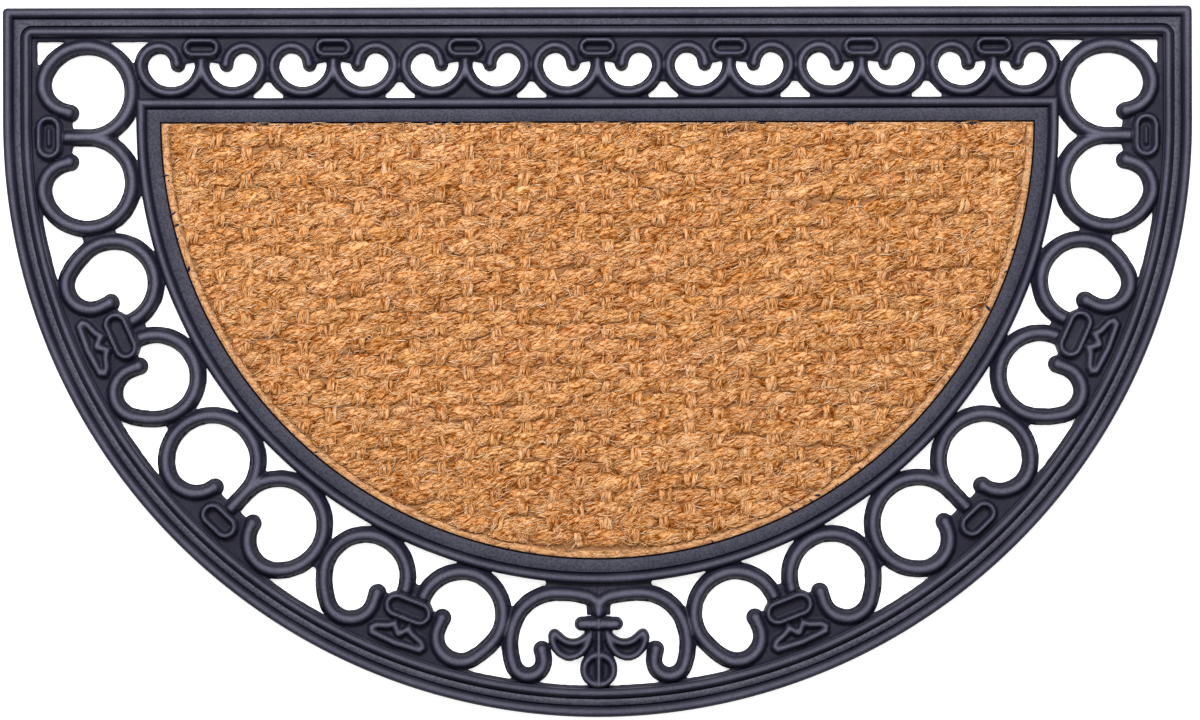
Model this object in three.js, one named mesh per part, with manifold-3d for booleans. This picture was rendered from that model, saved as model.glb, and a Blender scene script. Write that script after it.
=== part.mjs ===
import * as THREE from 'three';
import { mergeVertices } from 'three/addons/utils/BufferGeometryUtils.js';
import Module from 'manifold-3d';

// Half round doormat: a scrollwork surround moulded in rubber, with a woven coir panel in its tray.
// Millimetres, +Z up. The origin is on the floor under the middle of the mat. The straight edge
// is towards +Y, and the round edge towards -Y. The mat is the same left and right of X = 0.

// Outline: a half circle with a strip above its centre
const MAT_WIDTH = 750;
const STRIP_RISE = 73;
const MAT_RADIUS = MAT_WIDTH / 2;
const MAT_DEPTH = MAT_RADIUS + STRIP_RISE;
const CENTRE_Y = MAT_DEPTH / 2 - STRIP_RISE;
const OUTER_EDGE = { radius: MAT_RADIUS, rise: STRIP_RISE };

// The half round tray that holds the panel, and the rim around it
const TRAY_RADIUS = 275;
const INNER_RIM_WIDTH = 16;
const INNER_EDGE = { radius: TRAY_RADIUS + INNER_RIM_WIDTH, rise: INNER_RIM_WIDTH };
const TRAY_LAP = 13;

// Heights above the floor
const TRAY_FLOOR = 2.2;
const WEB_TOP = 3.5;
const SLOT_FLOOR = 4.5;
const GROOVE_TOP = 5;
const BAND_TOP = 6.2;
const CREST = 8;
const BURIED = 1;

// Bands of the two rims, measured inwards from the edge that each rim follows. A ridge's sides
// draw in by its slope on their way up.
const OUTER_RIM = [
  { from: 0, to: 18.5, top: GROOVE_TOP, slope: 0, corner: 2.5 },
  { from: 16, to: 19.6, top: WEB_TOP, slope: 0, corner: 0 },
  { from: 0.4, to: 6.4, top: CREST, slope: 1.7, corner: 3 },
  { from: 7.2, to: 11.6, top: BAND_TOP, slope: 0, corner: 0.8 },
  { from: 12.4, to: 18, top: CREST, slope: 1.6, corner: 5 },
];
const INNER_RIM = [
  { from: 0, to: INNER_RIM_WIDTH, top: GROOVE_TOP, slope: 0, corner: 0 },
  { from: 0.5, to: 6.4, top: CREST, slope: 1.6, corner: 0 },
  { from: 7.4, to: 15.6, top: BAND_TOP, slope: 0, corner: 0 },
];
const RIDGE_RISE = 3.2;

// Ribs: the width at the foot and along the crest, and the turn in degrees for each facet
const LARGE_RIB = { foot: 11.2, crest: 3.6, facet: 26 };
const SMALL_RIB = { foot: 9.1, crest: 2.8, facet: 33 };
const END_TAPER = 1.8;

// Scrolls. The two of a pair mirror each other across the pair's axis. A rib leaves the axis down
// a straight stem, follows its arcs around the ring, and curls in to a round end. The first arc's
// middle is at spread from the axis, and mouth is how far up the stem the opening reaches.
const SCROLLS = {
  small: {
    rib: SMALL_RIB, spread: 19.5, stem: 6, mouth: 1.2, run: 2.2, end: 4.2,
    arcs: [
      { radius: 19.5, turn: 161 },
      { radius: 12.4, turn: 94 },
      { radius: 11, turn: 96 },
    ],
  },
  corner: {
    rib: LARGE_RIB, spread: 28.8, stem: 15, mouth: 8, run: 4.5, end: 5.6,
    arcs: [
      { radius: 28.8, turn: 246 },
      { radius: 17.4, turn: 98 },
    ],
  },
  plain: {
    rib: LARGE_RIB, spread: 29, stem: 15, mouth: 11.5, run: 2.5, end: 5.6,
    arcs: [
      { radius: 29, turn: 230 },
      { radius: 19, turn: 113 },
    ],
  },
  leaf: {
    rib: LARGE_RIB, spread: 32.4, stem: 4, mouth: 2, run: 6.1, end: 5.6,
    arcs: [
      { radius: 26.5, turn: 198 },
      { radius: 49.7, turn: 20 },
      { radius: 15.6, turn: 145 },
    ],
  },
  centre: {
    rib: LARGE_RIB, spread: 9.1, stem: 3, mouth: 3, run: 5.1, end: 5,
    arcs: [
      { radius: 7, turn: 77 },
      { radius: 76, turn: 15 },
      { radius: 28.6, turn: 65 },
      { radius: 38.9, turn: 43 },
      { radius: 9.8, turn: 171 },
    ],
  },
};

// Clasps: rounded loops across a pair's axis, centred up it from the middle of the rings
const CLASPS = {
  small: { length: 24, width: 12.4, up: 9, rib: 3.8 },
  corner: { length: 28.4, width: 16.6, up: 23.6, rib: 4.2 },
  plain: { length: 27, width: 16, up: 23.7, rib: 4.2 },
  leaf: { length: 32, width: 16.4, up: 9.2, rib: 4.2 },
};
const CLASP_SLOPE = 1.2;

// Webs: thin sheets between the ribs, as boxes about an axis, with the ring openings cut out, and
// the gaps between the small pairs
const WEBS = {
  straightSide: { half: 281, low: -24, high: 16.5 },
  corner: { half: 46, low: 0, high: 34 },
  plain: { half: 42, low: 0, high: 36 },
  leaf: { half: 45, low: 0, high: 39 },
  besideCorner: { half: 16, low: -31.5, high: 0 },
};
const GAPS = { betweenSmall: { half: 9, low: -26, high: -12.5 } };

// Gussets: small sheets that fill the narrow ends of the gaps where ribs meet
const GUSSETS = {
  corner: { half: 6, low: -20, high: 1 },
  leaf: { half: 8, low: -8, high: 1 },
  centre: { half: 12, low: -15, high: 6.5 },
  ornament: { half: 9, low: 12, high: 34 },
  ornamentHead: { half: 36, low: -19, high: -11.5 },
  aboveCorner: { half: 17, low: -4.5, high: 1 },
  betweenRings: { half: 4, low: -11.5, high: 11.5 },
  ringFoot: { half: 16, low: -3, high: 4.5 },
};

// Where the pairs stand. Those on the straight side face it, and the others face the round edge,
// where a bearing is in degrees below the -X side of the half circle's centre.
const SMALL_PAIRS = { count: 7, pitch: 83.2, ringY: 189.5 };
const CORNER_PAIRS = { ringX: 322.1, axisY: 142.3 };
const BESIDE_CORNER_X = 290.8;
const ARC_PAIRS = {
  leaf: [{ bearing: 24, level: 320 }, { bearing: 68.6, level: 320 }],
  plain: [{ bearing: 46.3, level: 322.5 }],
};
const CENTRE_LEVEL = 304.7;
const RING_CONTACTS = { bearings: [12.8, 35.2, 57.4, 79.7], level: 322.5 };
const RING_FEET = { bearings: [6.8, 18.2, 29.8, 41.1, 51.5, 62.8, 74.4, 84.7], level: 291 };

// Leaf figure between a leaf pair's clasp and the rim: half its outline, from the axis outwards
const LEAF_TOP = 7;
const LEAF_OUTLINE = [
  { x: 0, y: 25 },
  { x: 4.6, y: 19.4 },
  { x: 8.4, y: 22.4 },
  { x: 15.6, y: 25 },
  { x: 18.4, y: 28 },
  { x: 16.6, y: 31.4 },
  { x: 0, y: 32.6 },
];
const LEAF_RECESS = [
  { x: 0, y: 28.6 },
  { x: 4.4, y: 23.8 },
  { x: 8, y: 26 },
  { x: 14.2, y: 28.4 },
  { x: 0, y: 29.9 },
];

// Centre ornament: a bar through a cross bar and a ring, with a crescent leaf on either side.
// A crescent is a disc with the edge of a second disc cut away, and a hollow inside its lip.
const CENTRE_BAR = { half: 2.8, low: -5, high: 51 };
const CROSS_BAR = { length: 31, width: 8.8, up: 11.5 };
const BAR_SLOPE = 1.6;
const RING_SLOPE = 1;
const CENTRE_RING = { up: 40.3, outer: 12, inner: 7.3 };
const LEAF_DISC = { x: 16, y: 22, radius: 13.2 };
const LEAF_CUT = { x: 14.9, y: 5.3, radius: 16.5 };
const LEAF_LIP = 3.8;

// The coir panel lies in the tray, with its edge pressed flat
const GAP = 0.3;
const PANEL_TOP = 9;
const PRESSED_TOP = 6.5;
const PRESSED_WIDTH = 6;
const PANEL_SLOPE = 1;

// Facets of round stretches
const ROUND_STEPS = 32;
const CORNER_STEPS = 3;
const DISC_SIDES = 16;
const RIB_END_SIDES = 8;
const CLASP_STEPS = 4;

const RUBBER = new THREE.MeshStandardMaterial({ color: 0x3d3d48, roughness: 0.6, metalness: 0 });
const COIR = new THREE.MeshStandardMaterial({ color: 0xbd8446, roughness: 0.95, metalness: 0 });

const radians = THREE.MathUtils.degToRad;
const wasm = await Module();
wasm.setup();

// A closed solid from a geometry, with its corners shared and its empty triangles dropped
function toSolid(geometry) {
  const bare = geometry.clone();
  bare.deleteAttribute('normal');
  bare.deleteAttribute('uv');
  const merged = mergeVertices(bare, 1e-4);
  const corners = merged.index.array;
  const kept = [];
  for (let i = 0; i < corners.length; i += 3) {
    const [a, b, c] = corners.slice(i, i + 3);
    if (a !== b && b !== c && c !== a) kept.push(a, b, c);
  }
  return new wasm.Manifold(new wasm.Mesh({
    numProp: 3,
    vertProperties: merged.attributes.position.array,
    triVerts: Uint32Array.from(kept),
  }));
}

function join(solids) {
  return solids.reduce((whole, solid) => whole.add(solid));
}

function toMesh(name, solid, material) {
  const { vertProperties, triVerts } = solid.getMesh();
  const geometry = new THREE.BufferGeometry();
  geometry.setAttribute('position', new THREE.BufferAttribute(vertProperties, 3));
  geometry.setIndex(new THREE.BufferAttribute(triVerts, 1));
  geometry.computeVertexNormals();
  const mesh = new THREE.Mesh(geometry, material);
  mesh.name = name;
  return mesh;
}

// Points of an arc about (x, y), from one angle to another in degrees
function arcPoints(x, y, radius, start, end, steps) {
  const points = [];
  for (let i = 0; i <= steps; i += 1) {
    const angle = radians(start + (end - start) * i / steps);
    points.push(new THREE.Vector2(x + radius * Math.cos(angle), y + radius * Math.sin(angle)));
  }
  return points;
}

function cornerPoints(x, y, radius, start) {
  if (radius === 0) return [new THREE.Vector2(x, y)];
  return arcPoints(x, y, radius, start, start + 90, CORNER_STEPS);
}

// The half round outline, drawn in from an edge, with its two corners rounded. Where the straight
// side would pass below the arc's centre, the outline is the arc with its chord.
function halfRound(edge, inset, corner) {
  const radius = edge.radius - inset;
  const rise = edge.rise - inset;
  const dip = THREE.MathUtils.radToDeg(Math.asin(Math.max(-rise, 0) / radius));
  const arc = arcPoints(0, CENTRE_Y, radius, 180 + dip, 360 - dip, ROUND_STEPS);
  if (rise <= 0) return arc;
  const side = radius - corner;
  const top = CENTRE_Y + rise - corner;
  return [...cornerPoints(side, top, corner, 0), ...cornerPoints(-side, top, corner, 90), ...arc];
}

// A rounded oblong that lies along x
function oblong(length, width, up) {
  const side = (length - width) / 2;
  return [
    ...arcPoints(side, up, width / 2, -90, 90, CLASP_STEPS),
    ...arcPoints(-side, up, width / 2, 90, 270, CLASP_STEPS),
  ];
}

function shapeOf(outline, hole) {
  const shape = new THREE.Shape(outline);
  if (hole) shape.holes.push(new THREE.Path(hole));
  return shape;
}

// A sheet of the given shape between two heights. Its edges draw in by the slope over the rise,
// at the top and at the bottom.
function sheet(shape, bottom, top, slope = 0, rise = slope) {
  const geometry = new THREE.ExtrudeGeometry(shape, {
    depth: top - bottom - 2 * rise,
    bevelEnabled: slope > 0,
    bevelThickness: rise,
    bevelSize: slope,
    bevelOffset: -slope,
    bevelSegments: 1,
  });
  return geometry.translate(0, 0, bottom + rise);
}

function box({ half, low, high }, bottom, top, slope) {
  const corners = [[-half, low], [half, low], [half, high], [-half, high]];
  const outline = corners.map(([x, y]) => new THREE.Vector2(x, y));
  return sheet(shapeOf(outline), bottom, top, slope);
}

function disc({ x, y, radius }, bottom, top, sides = DISC_SIDES, topRadius = radius) {
  const geometry = new THREE.CylinderGeometry(topRadius, radius, top - bottom, sides);
  return geometry.rotateX(Math.PI / 2).translate(x, y, (bottom + top) / 2);
}

// Everything starts below the floor, deep enough to hide its lower slope there
function rimBand(edge, { from, to, top, slope, corner }) {
  const outline = halfRound(edge, from, corner);
  const hole = halfRound(edge, to, Math.max(corner + from - to, 0));
  if (slope === 0) return sheet(shapeOf(outline, hole), -BURIED, top);
  return sheet(shapeOf(outline, hole), -RIDGE_RISE, top, slope, RIDGE_RISE);
}

// The rib's cross-section, drawn in from the foot to the crest. The shape's x runs down and its
// y runs across the rib, as they do along a level route.
function ribSection({ foot, crest }) {
  return new THREE.Shape([
    new THREE.Vector2(BURIED, -foot / 2),
    new THREE.Vector2(BURIED, foot / 2),
    new THREE.Vector2(-CREST, crest / 2),
    new THREE.Vector2(-CREST, -crest / 2),
  ]);
}

// A level route through stations, which are places with headings in radians
class Route extends THREE.Curve {
  constructor(stations) {
    super();
    this.stations = stations;
  }

  stationAt(u) {
    return this.stations[Math.round(u * (this.stations.length - 1))];
  }

  getPointAt(u) {
    const { x, y } = this.stationAt(u);
    return new THREE.Vector3(x, y, 0);
  }

  getTangentAt(u) {
    const { heading } = this.stationAt(u);
    return new THREE.Vector3(Math.cos(heading), Math.sin(heading), 0);
  }
}

// Stations of the scroll on the -x side of its pair's axis, from the clasp to the round end.
// The rib heads away from the rim, and turns clockwise all the way.
function scrollStations({ rib, spread, stem, arcs, run }) {
  let x = arcs[0].radius - spread;
  let y = 0;
  let heading = -Math.PI / 2;
  const stations = [{ x, y: stem, heading }, { x, y, heading }];
  for (const { radius, turn } of arcs) {
    const middleX = x + radius * Math.sin(heading);
    const middleY = y - radius * Math.cos(heading);
    const steps = Math.ceil(turn / rib.facet);
    for (let i = 0; i < steps; i += 1) {
      heading -= radians(turn) / steps;
      x = middleX - radius * Math.sin(heading);
      y = middleY + radius * Math.cos(heading);
      stations.push({ x, y, heading });
    }
  }
  x += run * Math.cos(heading);
  y += run * Math.sin(heading);
  stations.push({ x, y, heading });
  return stations;
}

function mirrored(stations) {
  return stations.map(({ x, y, heading }) => ({ x: -x, y, heading: Math.PI - heading }));
}

function scrollRib({ rib, end }, stations) {
  const { x, y } = stations[stations.length - 1];
  const steps = stations.length - 1;
  const extrudePath = new Route(stations);
  return [
    new THREE.ExtrudeGeometry(ribSection(rib), { steps, bevelEnabled: false, extrudePath }),
    disc({ x, y, radius: end }, -BURIED, CREST, RIB_END_SIDES, end - END_TAPER),
  ];
}

// What is cut from the webs inside a ring, as far as the middle of its rib
function ringOpening({ mouth }, stations) {
  const [{ x }, ...rest] = stations;
  const outline = [new THREE.Vector2(x, mouth), ...rest.map((at) => new THREE.Vector2(at.x, at.y))];
  return sheet(shapeOf(outline), -2 * BURIED, WEB_TOP + BURIED);
}

function clasp({ length, width, up, rib }) {
  const loop = shapeOf(
    oblong(length, width, up),
    oblong(length - 2 * rib, width - 2 * rib, up),
  );
  const floor = shapeOf(oblong(length - rib, width - rib, up));
  return [
    sheet(loop, -RIDGE_RISE, CREST, CLASP_SLOPE, RIDGE_RISE),
    sheet(floor, -BURIED, SLOT_FLOOR),
  ];
}

function bothHalves(half) {
  const right = half.map(({ x, y }) => new THREE.Vector2(x, y));
  const left = right.filter(({ x }) => x > 0).map(({ x, y }) => new THREE.Vector2(-x, y));
  return [...right, ...left.reverse()];
}

function leafFigure() {
  return sheet(shapeOf(bothHalves(LEAF_OUTLINE), bothHalves(LEAF_RECESS)), BURIED, LEAF_TOP);
}

// The centre ornament without its leaves
function centreBars() {
  const { up, outer, inner } = CENTRE_RING;
  const { length, width } = CROSS_BAR;
  const ring = new THREE.Shape().absarc(0, up, outer, 0, 2 * Math.PI);
  ring.holes.push(new THREE.Path().absarc(0, up, inner, 0, 2 * Math.PI));
  return [
    sheet(shapeOf(oblong(length, width, CROSS_BAR.up)), -2 * BURIED, CREST, BAR_SLOPE),
    box(CENTRE_BAR, -2 * BURIED, CREST, BAR_SLOPE),
    sheet(ring, -2 * BURIED, CREST, RING_SLOPE),
    disc({ x: 0, y: up, radius: outer }, -BURIED, WEB_TOP),
  ];
}

// A crescent leaf's body, drawn in from its edge, on the given side of the ornament's axis
function leafBody(frame, side, inset, bottom, top) {
  const round = { x: side * LEAF_DISC.x, y: LEAF_DISC.y, radius: LEAF_DISC.radius - inset };
  const cut = { x: side * LEAF_CUT.x, y: LEAF_CUT.y, radius: LEAF_CUT.radius + inset };
  const body = disc(round, bottom, top);
  const cutter = disc(cut, bottom - BURIED, top + BURIED);
  const [solid, cutSolid] = place([body, cutter], frame);
  return solid.subtract(cutSolid);
}

function crescentLeaf(frame, side) {
  const hollow = leafBody(frame, side, LEAF_LIP, WEB_TOP, CREST + BURIED);
  return leafBody(frame, side, 0, -BURIED, CREST).subtract(hollow);
}

// Geometries turned and moved from a pair's own axes to where the pair stands
function place(geometries, { x, y, turn }) {
  return geometries.map((geometry) => {
    const placed = geometry.clone().rotateZ(radians(turn)).translate(x, y, 0);
    return toSolid(placed);
  });
}

// The axes of a pair on the round side: its +y points away from the half circle's centre
function arcFrame(bearing, level) {
  const angle = radians(180 + bearing);
  const x = level * Math.cos(angle);
  const y = CENTRE_Y + level * Math.sin(angle);
  return { x, y, turn: 90 + bearing };
}

function bothArcFrames(bearing, level) {
  return [arcFrame(bearing, level), arcFrame(180 - bearing, level)];
}

// Evenly spaced axes along the straight side, about the middle of the mat
function rowFrames(count) {
  const frames = [];
  for (let i = 0; i < count; i += 1) {
    const x = (i - (count - 1) / 2) * SMALL_PAIRS.pitch;
    frames.push({ x, y: SMALL_PAIRS.ringY, turn: 0 });
  }
  return frames;
}

function pairFrames() {
  const { ringX, axisY } = CORNER_PAIRS;
  return {
    small: rowFrames(SMALL_PAIRS.count),
    corner: [{ x: -ringX, y: axisY, turn: 90 }, { x: ringX, y: axisY, turn: -90 }],
    leaf: ARC_PAIRS.leaf.flatMap(({ bearing, level }) => bothArcFrames(bearing, level)),
    plain: ARC_PAIRS.plain.flatMap(({ bearing, level }) => bothArcFrames(bearing, level)),
    centre: [arcFrame(90, CENTRE_LEVEL)],
  };
}

// Axes that lie between two pairs
function neighbourFrames() {
  const { bearings, level } = RING_CONTACTS;
  const { ringY } = SMALL_PAIRS;
  const stripEdge = MAT_DEPTH / 2 - OUTER_RIM[1].to;
  return {
    straightSide: rowFrames(1),
    betweenSmall: rowFrames(SMALL_PAIRS.count - 1),
    besideCorner: [-1, 1].map((side) => ({ x: side * BESIDE_CORNER_X, y: ringY, turn: 0 })),
    aboveCorner: [-1, 1].map((side) => ({ x: side * CORNER_PAIRS.ringX, y: stripEdge, turn: 0 })),
    betweenRings: bearings.flatMap((bearing) => bothArcFrames(bearing, level)),
    ornament: [arcFrame(90, CENTRE_LEVEL)],
    ornamentHead: [arcFrame(90, CENTRE_LEVEL)],
    ringFoot: RING_FEET.bearings.flatMap((bearing) => bothArcFrames(bearing, RING_FEET.level)),
  };
}

function rims() {
  const floor = sheet(shapeOf(halfRound(INNER_EDGE, TRAY_LAP, 0)), -BURIED, TRAY_FLOOR);
  return [
    ...OUTER_RIM.map((band) => rimBand(OUTER_EDGE, band)),
    ...INNER_RIM.map((band) => rimBand(INNER_EDGE, band)),
    floor,
  ].map(toSolid);
}

// Everything is built from below the floor, and cut level with it at the end
function belowFloor() {
  return toSolid(box({ half: MAT_WIDTH, low: -MAT_WIDTH, high: MAT_WIDTH }, -MAT_WIDTH, 0));
}

function surround() {
  const rubber = rims();
  const webs = [];
  const openings = [];
  for (const [kind, frames] of Object.entries({ ...pairFrames(), ...neighbourFrames() })) {
    for (const frame of frames) {
      if (kind in WEBS) webs.push(...place([box(WEBS[kind], -BURIED, WEB_TOP)], frame));
      if (kind in GUSSETS) rubber.push(...place([box(GUSSETS[kind], -BURIED, WEB_TOP)], frame));
      if (kind in GAPS) {
        openings.push(...place([box(GAPS[kind], -2 * BURIED, WEB_TOP + BURIED)], frame));
      }
      if (kind in CLASPS) rubber.push(...place(clasp(CLASPS[kind]), frame));
      if (kind in SCROLLS) {
        const scroll = SCROLLS[kind];
        const left = scrollStations(scroll);
        for (const stations of [left, mirrored(left)]) {
          rubber.push(...place(scrollRib(scroll, stations), frame));
          openings.push(...place([ringOpening(scroll, stations)], frame));
        }
      }
      if (kind === 'leaf') rubber.push(...place([leafFigure()], frame));
      if (kind === 'centre') {
        rubber.push(...place(centreBars(), frame));
        rubber.push(crescentLeaf(frame, -1), crescentLeaf(frame, 1));
      }
    }
  }
  const whole = join(rubber).add(join(webs).subtract(join(openings)));
  return whole.subtract(belowFloor());
}

function panel() {
  const edge = { radius: TRAY_RADIUS, rise: 0 };
  const pressed = sheet(shapeOf(halfRound(edge, GAP, 0)), TRAY_FLOOR + GAP, PRESSED_TOP);
  const woven = shapeOf(halfRound(edge, PRESSED_WIDTH, 0));
  const raised = sheet(woven, TRAY_FLOOR + BURIED, PANEL_TOP, PANEL_SLOPE);
  return join([pressed, raised].map(toSolid));
}

const group = new THREE.Group();
group.name = 'half_round_doormat';
group.add(toMesh('rubber_surround', surround(), RUBBER));
group.add(toMesh('coir_panel', panel(), COIR));

export default group;
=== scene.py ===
from collections import namedtuple
from math import asin, ceil, cos, pi, radians, sin, sqrt

import bpy
import mathutils
import numpy as np
from mathutils.geometry import delaunay_2d_cdt
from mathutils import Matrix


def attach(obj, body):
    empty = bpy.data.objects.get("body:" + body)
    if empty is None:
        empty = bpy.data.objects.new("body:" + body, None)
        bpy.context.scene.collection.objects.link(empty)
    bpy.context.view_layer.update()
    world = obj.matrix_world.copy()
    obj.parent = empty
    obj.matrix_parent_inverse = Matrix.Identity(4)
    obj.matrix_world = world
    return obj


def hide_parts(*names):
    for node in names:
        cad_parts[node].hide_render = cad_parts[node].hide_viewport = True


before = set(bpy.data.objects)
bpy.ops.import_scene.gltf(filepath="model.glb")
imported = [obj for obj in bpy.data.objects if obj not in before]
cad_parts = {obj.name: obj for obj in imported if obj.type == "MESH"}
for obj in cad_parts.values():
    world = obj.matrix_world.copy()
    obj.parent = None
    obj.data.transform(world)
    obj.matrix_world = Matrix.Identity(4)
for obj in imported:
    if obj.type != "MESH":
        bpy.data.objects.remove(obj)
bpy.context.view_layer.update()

# Half round doormat: a moulded rubber surround with scrollwork, and a woven coir panel in its tray.
# Shapes are worked out in millimetres, in the frame's own axes, and stored in metres.

MM = 0.001
rng = np.random.default_rng(20)

# ---- sizes -----------------------------------------------------------------------------------
# Outlines and heights are the part's. The ribs' flanges and the lip along the straight side are
# up to 2 mm wider than the part's, as in the photograph.
STRIP_RISE = 73.0
MAT_RADIUS = 375.0
MAT_DEPTH = MAT_RADIUS + STRIP_RISE
CENTRE_Y = MAT_DEPTH / 2 - STRIP_RISE
TRAY_RADIUS = 275.0
INNER_RADIUS, INNER_RISE = 291.0, 16.0
TRAY_FLOOR, WEB_TOP, CREST = 2.2, 3.2, 8.0
RIB_FOOT, LIP_FOOT = 4.3, 4.9
LIP_INSET, STRAIGHT_LIP, LIP_CHANGE = 19.6, 21.3, 20

# half widths of a rib's flange and of the round on it
LARGE = {"foot": 5.4, "round": 3.95}
SMALL = {"foot": 4.35, "round": 3.0}
# Each pair of scrolls: half the distance between its rings, the stem's top, the top of the
# opening beside it, the straight run after the last arc, the end's radius, and the arcs' radii
# and turns in degrees.
Scroll = namedtuple("Scroll", "rib spread stem mouth run end arcs")
SCROLLS = {
    "small": Scroll(SMALL, 19.5, 6, 1.2, 2.2, 4.2, [(19.5, 161), (12.4, 94), (11, 96)]),
    "corner": Scroll(LARGE, 28.8, 15, 8, 4.5, 5.6, [(28.8, 246), (17.4, 98)]),
    "plain": Scroll(LARGE, 29.0, 15, 11.5, 2.5, 5.6, [(29, 230), (19, 113)]),
    "leaf": Scroll(LARGE, 32.4, 4, 2, 6.1, 5.6, [(26.5, 198), (49.7, 20), (15.6, 145)]),
    "centre": Scroll(LARGE, 3.6, 3, 3, 5.1, 5.0, [
        (3.4, 45), (14, 32), (76, 15), (28.6, 65), (38.9, 43), (9.8, 171),
    ]),
}
# a clasp's length, width, place along y and rib width
CLASPS = {
    "small": (24.0, 12.4, 9.0, 3.9),
    "corner": (28.4, 16.6, 23.6, 4.4),
    "plain": (27.0, 16.0, 23.7, 4.4),
    "leaf": (32.0, 16.4, 9.2, 4.4),
}
# webs and gussets: half their width, and where they start and end along y
WEBS = {
    "straight_side": (281, -24, 16.5),
    "corner": (46, 0, 34),
    "plain": (42, 0, 36),
    "leaf": (45, 0, 39),
    "beside_corner": (16, -31.5, 0),
}
GUSSETS = {
    "corner": (5, -19, 1),
    "leaf": (7, -7, 1),
    "centre": (7.5, -15, 6),
    "ornament": (9, 12, 34),
    "ornament_head": (28, -19, -11),
    "above_corner": (14, -3.5, 1),
    "between_rings": (3, -10.5, 10.5),
    "ring_foot": (11, -3, 3.2),
}
GAP_BETWEEN_SMALL = (9.4, -26, -12.5)
SMALL_PITCH, SMALL_Y = 83.2, 189.5
CORNER_X = 322.1
LEAF_LEVEL, PLAIN_LEVEL, CENTRE_LEVEL = 320, 322.5, 304.7
LEAF_OUTLINE = [(0, 25), (4.6, 19.4), (8.4, 22.4), (15.6, 25), (18.4, 28), (16.6, 31.4), (0, 32.6)]


def arc_frame(bearing, level):
    angle = radians(180 + bearing)
    return (level * cos(angle), CENTRE_Y + level * sin(angle), 90 + bearing)


def both_arcs(bearings, level):
    return [arc_frame(b, level) for bearing in bearings for b in (bearing, 180 - bearing)]


def row_frames(count):
    return [((i - (count - 1) / 2) * SMALL_PITCH, SMALL_Y, 0) for i in range(count)]


def both_sides(x, y, turn=0):
    return [(-x, y, turn), (x, y, -turn)]


# where each kind stands: x, y and a turn in degrees
FRAMES = {
    "small": row_frames(7),
    "corner": both_sides(CORNER_X, 142.3, 90),
    "leaf": both_arcs([24, 68.6], LEAF_LEVEL),
    "plain": both_arcs([46.3], PLAIN_LEVEL),
    "centre": [arc_frame(90, CENTRE_LEVEL)],
    "straight_side": row_frames(1),
    "between_small": row_frames(6),
    "beside_corner": both_sides(290.8, SMALL_Y),
    "above_corner": both_sides(CORNER_X, 203.5),
    "between_rings": both_arcs([12.8, 35.2, 57.4, 79.7], PLAIN_LEVEL),
    "ornament": [arc_frame(90, CENTRE_LEVEL)],
    "ornament_head": [arc_frame(90, CENTRE_LEVEL)],
    "ring_foot": both_arcs([6.8, 18.2, 29.8, 41.1, 51.5, 62.8, 74.4, 85.6], INNER_RADIUS),
}


def add_object(name, data):
    o = bpy.data.objects.new(name, data)
    bpy.context.scene.collection.objects.link(o)
    return o


def new_mesh(name, points, groups, material, smooth=True):
    """A mesh object from points in millimetres and arrays of equal-sided faces."""
    me = bpy.data.meshes.new(name)
    loops = np.concatenate([g.ravel() for g in groups]).astype(np.int32)
    totals = np.concatenate([np.full(len(g), g.shape[1]) for g in groups])
    starts = np.concatenate([[0], np.cumsum(totals)[:-1]]).astype(np.int32)
    me.vertices.add(len(points))
    me.vertices.foreach_set("co", (np.asarray(points) * MM).astype(np.float32).ravel())
    me.loops.add(len(loops))
    me.loops.foreach_set("vertex_index", loops)
    me.polygons.add(len(totals))
    me.polygons.foreach_set("loop_start", starts)
    me.update(calc_edges=True)
    me.validate()
    me.polygons.foreach_set("use_smooth", np.full(len(me.polygons), smooth))
    me.materials.append(material)
    return add_object(name, me)


def set_attribute(o, name, values):
    layer = o.data.attributes.new(name, "FLOAT", "POINT")
    layer.data.foreach_set("value", np.asarray(values).astype(np.float32).ravel())


def strip(count, low, high):
    """Faces between two rings of points, whose first points are numbered low and high."""
    i = np.arange(count)
    n = (i + 1) % count
    return np.column_stack([low + i, low + n, high + n, high + i])


def fan(count, first, apex):
    """Triangles between a ring of points and an apex."""
    i = np.arange(count)
    return np.column_stack([first + i, first + (i + 1) % count, np.full(count, apex)])


# ---- materials -------------------------------------------------------------------------------
MIX_FACTOR, MIX_A, MIX_B, MIX_RESULT = 0, 6, 7, 2
BUMP_DEPTH = 0.0004


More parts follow.
